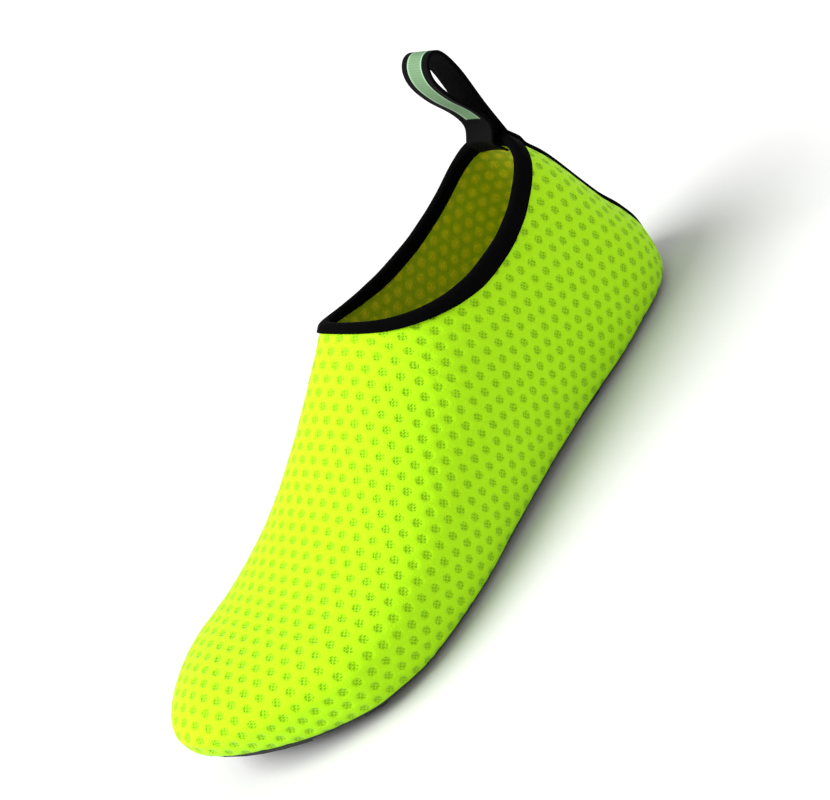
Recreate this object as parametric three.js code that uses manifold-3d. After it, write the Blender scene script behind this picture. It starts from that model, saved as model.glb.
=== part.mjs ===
// Water shoe, left foot: a thin knitted sock on a moulded rubber sole.
// All sizes in mm. x runs to the toe, y to the wearer's left, z up.
// Every piece is first drawn with x = 0 at the back of the heel, then moved so
// that the origin lies on the floor under the middle of the heel.
import * as THREE from 'three';
import { mergeVertices } from 'three/addons/utils/BufferGeometryUtils.js';
import { ParametricGeometry } from 'three/addons/geometries/ParametricGeometry.js';
import Module from 'manifold-3d';

const wasm = await Module();
wasm.setup();

// The last: the sizes that drive the upper and the sole
const shoeLength = 250;
const ballWidth = 91;
const instepHeight = 80;
const heelHeight = 82;
const heelContact = 40;
const turnUnder = 3;

// The sole, from the floor up
const lugDepth = 1.3;
const plateThickness = 1.6;
const toeSpring = 13.5;
const archRise = 1.6;
const soleInset = 4;
const sideStep = 1;
const lugInset = 2.4;
const insoleThickness = 3;

// The cloth pieces
const clothThickness = 1.8;
const fitGap = 0.3;
const bindingThickness = 0.9;
const bindingWidth = 4.2;
const throatWidth = 0.5;
const webbingWidth = 15;
const webbingThickness = 1.6;
const webbingTack = 3;
const webbingInside = 5.5;
const loopRise = 41;
const loopDepth = 10.5;

const toeCap = 0.173;
const heelCap = 0.13;
const stationCount = 30;

// Plan of the shoe: middle line and half width as shares of the ball width
const outlineTable = [
  { share: 0.00, middle: 0.000, half: 0.300 },
  { share: 0.10, middle: 0.000, half: 0.310 },
  { share: 0.20, middle: 0.010, half: 0.342 },
  { share: 0.30, middle: 0.025, half: 0.357 },
  { share: 0.40, middle: 0.042, half: 0.378 },
  { share: 0.50, middle: 0.056, half: 0.405 },
  { share: 0.60, middle: 0.048, half: 0.450 },
  { share: 0.70, middle: 0.024, half: 0.490 },
  { share: 0.76, middle: 0.004, half: 0.500 },
  { share: 0.83, middle: -0.036, half: 0.488 },
  { share: 0.90, middle: -0.078, half: 0.438 },
  { share: 1.00, middle: -0.122, half: 0.363 },
];

// Sections: height of the ridge and of the widest level above the sole as
// shares of the instep height, side shift of the ridge as a share of the ball
// width, and how full the section is (2 is an ellipse)
const sectionTable = [
  { share: 0.00, ridge: 1.348, widest: 0.213, shift: 0.000, fullness: 1.84 },
  { share: 0.15, ridge: 1.298, widest: 0.237, shift: 0.000, fullness: 1.84 },
  { share: 0.30, ridge: 1.286, widest: 0.297, shift: -0.016, fullness: 1.97 },
  { share: 0.42, ridge: 1.111, widest: 0.273, shift: -0.044, fullness: 2.05 },
  { share: 0.50, ridge: 0.954, widest: 0.247, shift: -0.071, fullness: 1.97 },
  { share: 0.60, ridge: 0.753, widest: 0.222, shift: -0.088, fullness: 2.00 },
  { share: 0.70, ridge: 0.586, widest: 0.198, shift: -0.101, fullness: 2.00 },
  { share: 0.80, ridge: 0.491, widest: 0.192, shift: -0.112, fullness: 2.00 },
  { share: 0.90, ridge: 0.451, widest: 0.160, shift: -0.123, fullness: 2.30 },
  { share: 1.00, ridge: 0.400, widest: 0.090, shift: -0.132, fullness: 2.50 },
];

// Underside of the sole: shares of the arch rise and of the toe spring
const treadTable = [
  { share: 0.00, arch: 0.35, spring: 0.00 },
  { share: 0.04, arch: 0.00, spring: 0.00 },
  { share: 0.13, arch: 0.00, spring: 0.00 },
  { share: 0.19, arch: 0.00, spring: 0.00 },
  { share: 0.30, arch: 0.60, spring: 0.00 },
  { share: 0.42, arch: 1.00, spring: 0.00 },
  { share: 0.52, arch: 0.70, spring: 0.00 },
  { share: 0.62, arch: 0.00, spring: 0.00 },
  { share: 0.68, arch: 0.00, spring: 0.00 },
  { share: 0.74, arch: 0.00, spring: 0.00 },
  { share: 0.82, arch: 0.00, spring: 0.11 },
  { share: 0.90, arch: 0.00, spring: 0.35 },
  { share: 1.00, arch: 0.00, spring: 1.00 },
];

// How far the back of the heel leans forward, by height above the floor as a
// share of the heel height; lean is a share of the heel height too
const leanTable = [
  { height: 0.000, lean: 0.000 },
  { height: 0.205, lean: 0.002 },
  { height: 0.325, lean: 0.026 },
  { height: 0.475, lean: 0.071 },
  { height: 0.635, lean: 0.088 },
  { height: 0.795, lean: 0.093 },
  { height: 0.896, lean: 0.104 },
  { height: 1.016, lean: 0.110 },
  { height: 1.175, lean: 0.114 },
];
const leanReach = 0.24;

// The pull loop seen from the side, from the rim at the back to the rim inside,
// as shares of the loop's depth and rise
const loopTable = [
  { forward: 0.00, up: 0.00 },
  { forward: 0.06, up: 0.32 },
  { forward: 0.06, up: 0.70 },
  { forward: 0.24, up: 0.93 },
  { forward: 0.60, up: 0.99 },
  { forward: 0.96, up: 0.93 },
  { forward: 1.09, up: 0.79 },
  { forward: 0.90, up: 0.585 },
  { forward: 0.45, up: 0.33 },
  { forward: 0.32, up: 0.15 },
];

// Edge of the collar seen from the side, height as a share of the heel height
const collarTable = [
  { share: -0.20, height: 1.051 },
  { share: 0.02, height: 1.043 },
  { share: 0.08, height: 1.001 },
  { share: 0.12, height: 0.934 },
  { share: 0.16, height: 0.882 },
  { share: 0.20, height: 0.850 },
  { share: 0.25, height: 0.833 },
  { share: 0.30, height: 0.838 },
  { share: 0.35, height: 0.862 },
  { share: 0.385, height: 0.891 },
  { share: 0.415, height: 0.925 },
  { share: 0.444, height: 0.970 },
  { share: 0.47, height: 1.032 },
  { share: 0.52, height: 1.211 },
];

// Smooth value of one column at a position, level at the table's own peaks
function along(table, key, column, position) {
  const last = table.length - 1;
  const at = Math.min(Math.max(position, table[0][key]), table[last][key]);
  let row = 0;
  while (row < last - 1 && at > table[row + 1][key]) row += 1;
  const rise = (i) => (table[i + 1][column] - table[i][column]) / (table[i + 1][key] - table[i][key]);
  const slope = (i) => {
    if (i === 0) return rise(0);
    if (i === last) return rise(last - 1);
    const before = rise(i - 1);
    const after = rise(i);
    return before * after <= 0 ? 0 : (2 * before * after) / (before + after);
  };
  const width = table[row + 1][key] - table[row][key];
  const t = (at - table[row][key]) / width;
  const t2 = t * t;
  const t3 = t2 * t;
  return (2 * t3 - 3 * t2 + 1) * table[row][column] + (t3 - 2 * t2 + t) * width * slope(row)
    + (3 * t2 - 2 * t3) * table[row + 1][column] + (t3 - t2) * width * slope(row + 1);
}

const outline = (column, share) => ballWidth * along(outlineTable, 'share', column, share);
const section = (column, share) => along(sectionTable, 'share', column, share);

// Height of the lugs' faces, and of the lower edge of the cloth, above the floor
function treadHeight(share) {
  return archRise * along(treadTable, 'share', 'arch', share)
    + toeSpring * along(treadTable, 'share', 'spring', share);
}
const clothHeight = (share) => treadHeight(share) + lugDepth + plateThickness + fitGap;

// Quarter of a rounded end: 0 at the tip, 1 where the cap ends
function roundEnd(distance, cap, power) {
  const t = Math.min(Math.max(distance / cap, 0), 1);
  return (1 - (1 - t) ** power) ** (1 / power);
}

// Point of the plan outline, moved outwards by an offset; side is 1 or -1
function outlinePoint(share, side, offset) {
  const at = (s) => {
    const inside = Math.min(Math.max(s, 0), 1);
    const half = outline('half', inside) * roundEnd(inside, heelCap, 2.2) * roundEnd(1 - inside, toeCap, 2);
    return [inside * shoeLength, outline('middle', inside) + side * half];
  };
  const [x, y] = at(share);
  const step = 0.0005;
  const [x0, y0] = at(share - step);
  const [x1, y1] = at(share + step);
  const length = Math.hypot(x1 - x0, y1 - y0);
  if (share < step / 5) return [x - offset, y];
  if (share > 1 - step / 5) return [x + offset, y];
  return [x - side * offset * (y1 - y0) / length, y + side * offset * (x1 - x0) / length];
}

// Where on the ridge line a section that starts on the outline ends
const ridgeFrom = 0.15;
const ridgeTo = 0.90;
const ridgeBend = 0.72;
function ridgeShare(share) {
  if (share < 2 * ridgeFrom) return ridgeFrom + ridgeFrom * (share / (2 * ridgeFrom)) ** 2;
  if (share < ridgeBend) return share;
  const u = (share - ridgeBend) / (1 - ridgeBend);
  return ridgeBend + (1 - ridgeBend) * u - (1 - ridgeTo) * u ** 2;
}

// The last: level -1 is the edge turned under, 0 the widest line, 1 the ridge
function lastPoint(share, side, level, offset) {
  const [outX, outY] = outlinePoint(share, side, offset);
  const top = ridgeShare(share);
  const topX = top * shoeLength;
  const topY = ballWidth * section('shift', top);
  const up = Math.max(level, 0) * Math.PI / 2;
  const down = Math.max(-level, 0) * Math.PI / 2;
  const power = 2 / section('fullness', top);
  const reach = Math.cos(up) ** power;
  let x = topX + (outX - topX) * reach;
  let y = topY + (outY - topY) * reach;
  const here = x / shoeLength;
  const low = clothHeight(here);
  const widest = low + instepHeight * section('widest', here);
  const ridge = instepHeight * section('ridge', here) + offset;
  const z = level < 0
    ? widest + (low - widest) * Math.sin(down)
    : widest + (ridge - widest) * Math.sin(up) ** power;
  const [tuckedX, tuckedY] = outlinePoint(share, side, offset - turnUnder * (1 - Math.cos(down)));
  if (level < 0) [x, y] = [tuckedX, tuckedY];
  const lean = heelHeight * along(leanTable, 'height', 'lean', z / heelHeight);
  x += lean * Math.max(1 - share / leanReach, 0) ** 1.5;
  return [x, y, z];
}

// A closed geometry, ready for cutting: shared corners, no flat triangles
function solidOf(geometry) {
  geometry.deleteAttribute('normal');
  geometry.deleteAttribute('uv');
  const merged = mergeVertices(geometry, 1e-3);
  const corners = [];
  for (let i = 0; i < merged.index.count; i += 3) {
    const [a, b, c] = [0, 1, 2].map((k) => merged.index.getX(i + k));
    if (a !== b && b !== c && c !== a) corners.push(a, b, c);
  }
  const mesh = new wasm.Mesh({
    numProp: 3,
    vertProperties: new Float32Array(merged.attributes.position.array),
    triVerts: new Uint32Array(corners),
  });
  return new wasm.Manifold(mesh);
}

// A surface through rings of points that all have the same number of points
function skin(rings) {
  const rows = rings.length - 1;
  const size = rings[0].length;
  return new ParametricGeometry((u, v, target) => {
    target.set(...rings[Math.round((1 - u) * rows)][Math.round(v * size) % size]);
  }, rows, size);
}

// A closed body along the shoe; ring(share) gives one ring, flat at both ends
function loft(ring) {
  const rings = [];
  for (let i = 0; i <= stationCount; i += 1) {
    rings.push(ring((1 - Math.cos(Math.PI * i / stationCount)) / 2));
  }
  return solidOf(skin(rings));
}

// The last grown by an offset; drop carries its open side down through the sole
const levels = [-1, -0.72, -0.42, 0, 0.14, 0.28, 0.42, 0.56, 0.7, 0.84, 1];
function form(offset, drop) {
  return loft((share) => {
    const left = levels.map((level) => lastPoint(share, 1, level, offset));
    const right = levels.map((level) => lastPoint(share, -1, level, offset));
    const ring = [...left, ...right.reverse().slice(1)];
    if (drop === 0) return ring;
    const under = ([x, y, z]) => [x, y, z - drop];
    return [under(ring[0]), ...ring, under(ring[ring.length - 1])];
  });
}

// The cloth between two grown lasts, open underneath
function shell(inner, outer) {
  return form(outer, 0).subtract(form(inner, plateThickness));
}

// A prism across the shoe, drawn in the side view
function sideCut(points, width) {
  const shape = new THREE.Shape(points.map(([x, z]) => new THREE.Vector2(x, z)));
  const prism = new THREE.ExtrudeGeometry(shape, { depth: width, bevelEnabled: false });
  prism.rotateX(Math.PI / 2);
  prism.translate(0, width / 2, 0);
  return solidOf(prism);
}

// Share of the binding's width at a place: the tape is pulled narrower round the throat
const narrowFrom = 0.28;
const narrowTo = 0.43;
function tapeShare(share) {
  const t = Math.min(Math.max((share - narrowFrom) / (narrowTo - narrowFrom), 0), 1);
  return 1 - (1 - throatWidth) * t * t * (3 - 2 * t);
}

// Everything above the collar's edge, the edge moved up by an amount, or down
// by one that narrows round the throat
function aboveCollar(amount) {
  const pointAt = (share) => [share * shoeLength, heelHeight * along(collarTable, 'share', 'height', share)];
  const steps = 44;
  const first = collarTable[0].share;
  const reach = collarTable[collarTable.length - 1].share - first;
  const edge = [];
  for (let i = 0; i <= steps; i += 1) {
    const share = first + reach * i / steps;
    const [x, z] = pointAt(share);
    const [x0, z0] = pointAt(share - 0.002);
    const [x1, z1] = pointAt(share + 0.002);
    const length = Math.hypot(x1 - x0, z1 - z0);
    const moved = amount < 0 ? amount * tapeShare(share) : amount;
    edge.push([x - moved * (z1 - z0) / length, z + moved * (x1 - x0) / length]);
  }
  const roof = 2 * heelHeight;
  edge.push([edge[steps][0], roof], [edge[0][0], roof]);
  return sideCut(edge, 2 * ballWidth);
}

// Upper: one hollow piece of cloth, open at the collar and underneath
function makeUpper() {
  return shell(-clothThickness, 0).subtract(aboveCollar(0));
}

// Binding: folded over the collar's edge, inside and outside
function makeBinding() {
  const away = fitGap + bindingThickness;
  const folded = shell(-clothThickness - away, away)
    .intersect(aboveCollar(-bindingWidth))
    .subtract(aboveCollar(away));
  const slot = shell(-clothThickness - fitGap, fitGap).subtract(aboveCollar(fitGap));
  return folded.subtract(slot);
}

// Height and forward place of the heel's centre line, on the last grown by offset
function heelLine(offset, height) {
  let low = -1;
  let high = 1;
  for (let i = 0; i < 30; i += 1) {
    const middle = (low + high) / 2;
    if (lastPoint(0, 1, middle, offset)[2] < height) low = middle;
    else high = middle;
  }
  return lastPoint(0, 1, low, offset)[0];
}

// How far forward the heel's curve is at a distance from its centre line
function heelBow(y, offset) {
  const part = Math.min(Math.abs(y) / (outline('half', 0) + offset), 1);
  return shoeLength * heelCap * (1 - (1 - part ** 2.2) ** (1 / 2.2));
}

// The block of the heel that holds a strip of webbing between two heights
function heelBlock(fromHeight, toHeight, width) {
  const front = shoeLength * 0.15;
  const back = -shoeLength * 0.1;
  return sideCut([[back, fromHeight], [front, fromHeight], [front, toHeight], [back, toHeight]], width);
}

const loopRows = 34;
const loopColumns = [-0.5, -0.25, 0.25, 0.5];
const loopTrim = 0.3;

// Pull loop: a band with rounded bow, up from the outside and down to the inside
function makeLoop(rim, outside, inside) {
  const rear = heelLine(outside, rim);
  const free = loopTable.map(({ forward, up }) => [rear + forward * loopDepth, rim + up * loopRise]);
  const path = new THREE.CatmullRomCurve3([
    [heelLine(outside, rim - 4), rim - 4],
    ...free,
    [heelLine(inside, rim), rim + 1],
    [heelLine(inside, rim - 4), rim - 4],
  ].map(([x, z]) => new THREE.Vector3(x, 0, z)));
  const rings = [];
  for (let i = 0; i <= loopRows; i += 1) {
    const at = path.getPoint(i / loopRows);
    const way = path.getTangent(i / loopRows);
    const fade = Math.min(Math.max(1 - (at.z - rim) / loopRise, 0), 1);
    const grown = outside + (inside - outside) * i / loopRows;
    const face = (layer) => loopColumns.map((column) => {
      const y = column * (webbingWidth - loopTrim);
      return [at.x - way.z * layer + heelBow(y, grown) * fade, y, at.z + way.x * layer];
    });
    const half = (webbingThickness - loopTrim) / 2;
    rings.push([...face(-half), ...face(half).reverse()]);
  }
  return solidOf(capEnds(skin(rings), loopRows, rings[0].length));
}

// Closes the two open ends of a band made of rings of the same size
function capEnds(geometry, rows, size) {
  const index = Array.from(geometry.index.array);
  const row = rows + 1;
  for (const end of [0, rows]) {
    for (let k = 0; k < size / 2 - 1; k += 1) {
      const corners = [k, k + 1, size - 2 - k, size - 1 - k].map((ring) => ring * row + end);
      const [a, b, c, d] = corners;
      if (end === 0) index.push(a, b, c, a, c, d);
      else index.push(a, c, b, a, d, c);
    }
  }
  geometry.setIndex(index);
  return geometry;
}

// Webbing: up the heel, tacked to the binding, on into the pull loop
function makeWebbing() {
  const overCloth = fitGap;
  const overBinding = 2 * fitGap + bindingThickness;
  const rim = heelHeight * along(collarTable, 'share', 'height', 0.08);
  const bindingEdge = rim - bindingWidth - fitGap - 1;
  const wide = 2 * webbingWidth;
  const thinBelow = shell(overCloth + webbingThickness, overBinding + 2 * webbingThickness)
    .intersect(heelBlock(0, bindingEdge - webbingTack, wide));
  const bindingRoom = shell(-clothThickness, overBinding)
    .intersect(heelBlock(bindingEdge, heelHeight * 1.2, wide));
  const outer = shell(overCloth, overBinding + webbingThickness)
    .intersect(heelBlock(0, rim, webbingWidth))
    .subtract(thinBelow)
    .subtract(bindingRoom);
  const within = clothThickness + overBinding + fitGap;
  const inner = shell(-within - webbingThickness, -within)
    .intersect(heelBlock(rim - webbingInside, rim, webbingWidth));
  const half = webbingThickness / 2;
  const loop = makeLoop(rim, overBinding + half, -within - half);
  return outer.add(inner).add(loop);
}

// Insole: a soft board that fills the opening under the upper
function makeInsole() {
  const inset = turnUnder + clothThickness + fitGap;
  return loft((share) => {
    const [lx, ly] = outlinePoint(share, 1, -inset);
    const [rx, ry] = outlinePoint(share, -1, -inset);
    const low = clothHeight(lx / shoeLength);
    const high = low + insoleThickness;
    return [[lx, ly, low], [lx, ly, high], [rx, ry, high], [rx, ry, low]];
  });
}

// Lug layer: the space under the plate that the lugs are cut from
function lugLayer() {
  return loft((share) => {
    const [lx, ly] = outlinePoint(share, 1, -soleInset - lugInset);
    const [rx, ry] = outlinePoint(share, -1, -soleInset - lugInset);
    const low = treadHeight(lx / shoeLength);
    const high = low + lugDepth + plateThickness / 4;
    return [[lx, ly, low], [lx, ly, high], [rx, ry, high], [rx, ry, low]];
  });
}

// Plate: the sole's sheet, with one step round its side
function solePlate() {
  return loft((share) => {
    const edge = (side, extra) => outlinePoint(share, side, -soleInset - extra);
    const [lx, ly] = edge(1, 0);
    const [rx, ry] = edge(-1, 0);
    const [ix, iy] = edge(1, sideStep);
    const [jx, jy] = edge(-1, sideStep);
    const low = treadHeight(lx / shoeLength) + lugDepth;
    const step = low + plateThickness / 2;
    const high = low + plateThickness;
    return [[ix, iy, low], [ix, iy, step], [lx, ly, step], [lx, ly, high],
      [rx, ry, high], [rx, ry, step], [jx, jy, step], [jx, jy, low]];
  });
}

// Round lugs: place along the shoe, place across (-1 medial edge, 1 lateral
// edge), outer radius as a share of the ball width, with or without a star
const ringTable = [
  { share: heelContact / shoeLength, across: 0.00, radius: 0.180, star: true },
  { share: 0.275, across: -0.42, radius: 0.095, star: false },
  { share: 0.350, across: 0.42, radius: 0.095, star: false },
  { share: 0.375, across: -0.35, radius: 0.095, star: false },
  { share: 0.465, across: 0.20, radius: 0.095, star: false },
  { share: 0.565, across: 0.00, radius: 0.120, star: false },
  { share: 0.665, across: -0.06, radius: 0.120, star: false },
  { share: 0.775, across: -0.46, radius: 0.185, star: true },
  { share: 0.790, across: 0.44, radius: 0.120, star: false },
];
const ringBand = 2.2;
const ringSpace = 2.0;

// Upright prism through the sole, from a flat shape
function upright(shape) {
  const prism = new THREE.ExtrudeGeometry(shape, { depth: heelHeight, bevelEnabled: false, curveSegments: 11 });
  prism.translate(0, 0, -heelHeight / 2);
  return solidOf(prism);
}

function acrossPoint(share, across) {
  const half = outline('half', share) * roundEnd(share, heelCap, 2.2) * roundEnd(1 - share, toeCap, 2);
  return [share * shoeLength, outline('middle', share) + across * half];
}

function discShape(x, y, radius, hole) {
  const shape = new THREE.Shape().absarc(x, y, radius, 0, 2 * Math.PI);
  if (hole > 0) shape.holes.push(new THREE.Path().absarc(x, y, hole, 0, 2 * Math.PI));
  return shape;
}

function starShape(x, y, radius) {
  const corners = [];
  for (let i = 0; i < 8; i += 1) {
    const reach = i % 2 === 0 ? radius : radius * 0.3;
    const turn = i * Math.PI / 4;
    corners.push(new THREE.Vector2(x + reach * Math.cos(turn), y + reach * Math.sin(turn)));
  }
  return new THREE.Shape(corners);
}

// One round lug: an outer band, an inner band, and a star or a stud inside
function roundLug({ share, across, radius, star }) {
  const [x, y] = acrossPoint(share, across);
  const outer = radius * ballWidth;
  const second = outer - ringBand - ringSpace;
  const shapes = [discShape(x, y, outer, outer - ringBand)];
  if (star) {
    shapes.push(discShape(x, y, second, second - ringBand));
    shapes.push(starShape(x, y, second - ringBand + 0.6));
  } else {
    shapes.push(discShape(x, y, second, 0));
  }
  return shapes.map(upright);
}

// Rows of blocks between the round lugs, each a skewed four-sided stud
const blockPitch = 11.5;
const blockLength = 7.8;
const toeBumper = 0.885;
function blockLugs() {
  const rings = ringTable.map((row) => ({ at: acrossPoint(row.share, row.across), reach: row.radius * ballWidth }));
  const blocks = [];
  const rowCount = Math.floor(shoeLength * toeBumper / blockPitch);
  for (let row = 1; row < rowCount; row += 1) {
    const share = row * blockPitch / shoeLength;
    const half = acrossPoint(share, 1)[1] - acrossPoint(share, 0)[1] - soleInset - lugInset;
    const columns = Math.ceil(half / blockPitch);
    for (let column = -columns; column <= columns; column += 1) {
      const shift = row % 2 === 0 ? 0 : 0.5;
      const y = acrossPoint(share, 0)[1] + (column + shift) * blockPitch;
      const x = share * shoeLength + 0.02 * (column + shift) ** 2 * blockPitch;
      const clear = rings.every(({ at, reach }) => Math.hypot(at[0] - x, at[1] - y) > reach + 0.55 * blockLength);
      const within = Math.abs(y - acrossPoint(share, 0)[1]) < half - 0.25 * blockLength;
      if (clear && within) blocks.push(upright(blockShape(x, y, (row + column) % 2 === 0 ? 1 : -1)));
    }
  }
  return blocks;
}

function blockShape(x, y, lean) {
  const long = blockLength / 2;
  const corners = [[-long, -0.9 * long], [0.8 * long, -0.7 * long], [long, 0.9 * long], [-0.7 * long, 0.7 * long]];
  return new THREE.Shape(corners.map(([u, v]) => new THREE.Vector2(x + u, y + lean * v)));
}

// Smooth bumper under the toe, its rear edge curved
function toeLug() {
  const x = toeBumper * shoeLength;
  const shape = new THREE.Shape();
  shape.moveTo(x, -ballWidth);
  shape.quadraticCurveTo(x + shoeLength * 0.05, outline('middle', toeBumper), x, ballWidth);
  shape.lineTo(shoeLength * 1.1, ballWidth);
  shape.lineTo(shoeLength * 1.1, -ballWidth);
  return upright(shape);
}

function makeOutsole() {
  const lugs = [...ringTable.flatMap(roundLug), ...blockLugs(), toeLug()];
  return wasm.Manifold.union(lugs).intersect(lugLayer()).add(solePlate());
}

// A named mesh from a finished solid, moved to the shared frame
function meshOf(name, solid, color, roughness) {
  const { vertProperties, triVerts } = solid.getMesh();
  const geometry = new THREE.BufferGeometry();
  geometry.setAttribute('position', new THREE.BufferAttribute(new Float32Array(vertProperties), 3));
  geometry.setIndex(new THREE.BufferAttribute(new Uint32Array(triVerts), 1));
  geometry.translate(-heelContact, 0, 0);
  geometry.computeVertexNormals();
  const mesh = new THREE.Mesh(geometry, new THREE.MeshStandardMaterial({ color, roughness, metalness: 0 }));
  mesh.name = name;
  return mesh;
}

const group = new THREE.Group();
group.name = 'water_shoe';
group.add(meshOf('outsole', makeOutsole(), 0x141a16, 0.7));
group.add(meshOf('insole', makeInsole(), 0x4a4a3c, 0.9));
group.add(meshOf('upper', makeUpper(), 0xa6dc1e, 0.8));
group.add(meshOf('collar_binding', makeBinding(), 0x101112, 0.85));
group.add(meshOf('heel_webbing', makeWebbing(), 0x141416, 0.8));

export default group;
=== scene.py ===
# %% [markdown]
# # A water shoe
# A water shoe is a thin knitted sock on a moulded rubber sole. This lesson dresses the packed
# model of the left one: cloth, binding tape, heel webbing with its pull loop, sole and insole.
# The frame comes first, because every piece takes its place from it.

# %% Load the frame
import math

import bpy
import numpy as np
from mathutils import Matrix, Vector


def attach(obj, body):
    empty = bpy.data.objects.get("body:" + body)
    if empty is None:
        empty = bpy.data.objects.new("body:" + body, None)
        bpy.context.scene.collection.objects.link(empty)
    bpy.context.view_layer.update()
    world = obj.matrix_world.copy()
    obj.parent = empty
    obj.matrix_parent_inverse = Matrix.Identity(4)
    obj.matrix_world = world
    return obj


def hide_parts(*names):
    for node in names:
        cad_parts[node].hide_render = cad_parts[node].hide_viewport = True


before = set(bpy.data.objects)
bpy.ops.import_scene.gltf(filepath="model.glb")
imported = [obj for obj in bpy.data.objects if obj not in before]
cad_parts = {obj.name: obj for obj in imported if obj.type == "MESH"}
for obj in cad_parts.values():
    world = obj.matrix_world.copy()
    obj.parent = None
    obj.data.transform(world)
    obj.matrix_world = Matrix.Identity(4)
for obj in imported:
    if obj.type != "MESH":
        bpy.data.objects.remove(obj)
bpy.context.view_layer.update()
print("nodes:", sorted(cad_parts))

# %% [markdown]
# ## Camera
# The camera stands high on the outer side and looks down on the collar, and it is rolled, so the
# toe points down and to the left. A long lens keeps the shoe free of strong perspective. The
# camera is aimed at the middle of the shoe, which needs no lens shift.

# %% Camera
IMAGE_WIDTH = 830
IMAGE_HEIGHT = 800
FOCAL_PIXELS = 2637.4
SENSOR = 36.0
EYE = Vector((0.41513, 0.72211, 0.46266))
AZIMUTH = math.radians(157.23)
ELEVATION = math.radians(25.63)
ROLL = math.radians(-41.56)
AIM_RIGHT = 149.0
AIM_DOWN = 0.0


def camera_axes(azimuth, elevation, roll):
    """Right, up and backward axes: backward from the two angles, then a turn about it by the roll."""
    flat = math.cos(elevation)
    back = Vector((math.sin(azimuth) * flat, -math.cos(azimuth) * flat, math.sin(elevation)))
    level = Vector((math.cos(azimuth), math.sin(azimuth), 0))
    upright = back.cross(level)
    right = level * math.cos(roll) + upright * math.sin(roll)
    up = upright * math.cos(roll) - level * math.sin(roll)
    return right, up, back


def aimed(right, up, back, pixels_right, pixels_down):
    """The same axes turned so that the point this many pixels off the middle comes to the middle."""
    back = (back * FOCAL_PIXELS - right * pixels_right + up * pixels_down).normalized()
    right = (right - back * right.dot(back)).normalized()
    return right, back.cross(right), back


def add_camera():
    """A camera at the eye, with the aimed axes as the columns of its matrix."""
    data = bpy.data.cameras.new("camera")
    data.sensor_width = SENSOR
    data.lens = FOCAL_PIXELS * SENSOR / IMAGE_WIDTH
    camera = bpy.data.objects.new("camera", data)
    right, up, back = aimed(*camera_axes(AZIMUTH, ELEVATION, ROLL), AIM_RIGHT, AIM_DOWN)
    turn = Matrix((right, up, back)).transposed().to_4x4()
    camera.matrix_world = Matrix.Translation(EYE) @ turn
    bpy.context.scene.collection.objects.link(camera)
    bpy.context.scene.camera = camera
    return camera


camera = add_camera()
print("lens", round(camera.data.lens, 1), "mm, frame", IMAGE_WIDTH, "by", IMAGE_HEIGHT)

# %% [markdown]
# ## Nodes in one line
# A material is a small graph. Short helpers keep its text short: one adds a node and links or sets
# its inputs, and the others add one sum, ramp, mix or wave. Fixed values of a finish go straight to
# the shader's sockets.

# %% Material helpers
def add(tree, kind, inputs=None, **settings):
    """One node of a kind; an input is a value or another node's output."""
    made = tree.nodes.new(kind)
    for key, value in settings.items():
        setattr(made, key, value)
    for key, value in (inputs or {}).items():
        if isinstance(value, bpy.types.NodeSocket):
            tree.links.new(value, made.inputs[key])
        else:
            made.inputs[key].default_value = value
    return made


def maths(tree, operation, *values):
    """Output of one sum of numbers or outputs."""
    return add(tree, "ShaderNodeMath", dict(enumerate(values)), operation=operation).outputs[0]


def vectors(tree, operation, *values):
    """Output of one sum of vectors, which is a number for a length."""
    made = add(tree, "ShaderNodeVectorMath", dict(enumerate(values)), operation=operation)
    return made.outputs["Value" if operation == "LENGTH" else "Vector"]


def axes(tree, vector):
    """The X, Y and Z outputs of a vector."""
    return add(tree, "ShaderNodeSeparateXYZ", {0: vector}).outputs


def wave(tree, value, period):
    """Sine of a value, so that it repeats after a period."""
    return maths(tree, "SINE", maths(tree, "MULTIPLY", value, 2 * math.pi / period))


def ramp(tree, value, start, end):
    """Smooth step from 0 at start to 1 at end."""
    inputs = {"Value": value, "From Min": start, "From Max": end}
    return add(tree, "ShaderNodeMapRange", inputs, interpolation_type="SMOOTHSTEP").outputs["Result"]


def mixed(tree, factor, first, second):
    """Colour between two colours or colour outputs."""
    made = add(tree, "ShaderNodeMix", data_type="RGBA")
    for key, value in (("Factor_Float", factor), ("A_Color", first), ("B_Color", second)):
        socket = next(s for s in made.inputs if s.identifier == key)
        if isinstance(value, bpy.types.NodeSocket):
            tree.links.new(value, socket)
        else:
            socket.default_value = value
    return next(s for s in made.outputs if s.identifier == "Result_Color")


def noise(tree, coordinates, scale, detail=2.0):
    """Soft random value, about scale blobs to the metre."""
    inputs = {"Vector": coordinates, "Scale": scale, "Detail": detail}
    return add(tree, "ShaderNodeTexNoise", inputs).outputs[0]


def start_material(name):
    """A new material with its tree, its shader and the coordinates of object and UV map."""
    made = bpy.data.materials.new(name)
    made.use_nodes = True
    tree = made.node_tree
    shader = tree.nodes["Principled BSDF"]
    where = add(tree, "ShaderNodeTexCoord")
    return made, tree, shader, where


def finish_material(tree, shader, color, height, depth, **fixed):
    """Colour and bump go to the shader as links, and every fixed value on its own socket."""
    tree.links.new(color, shader.inputs["Base Color"])
    bump = add(tree, "ShaderNodeBump", {"Height": height, "Distance": depth, "Strength": 1.0})
    tree.links.new(bump.outputs[0], shader.inputs["Normal"])
    for key, value in fixed.items():
        shader.inputs[key.replace("_", " ")].default_value = value


# %% [markdown]
# ## Floor and light
# A pale floor and a soft studio: one very wide lamp, high over the toe and a little to the inner
# side, makes the top bright and leaves the outer side in light shade. Its shadow falls behind the
# heel and on the outer side. A pale sky fills the rest. The lamp is a sun with a wide disc, because
# its light doesn't fade with distance, so the floor stays evenly white in every view.

# %% Floor
FLOOR_SIZE = 60.0


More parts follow.
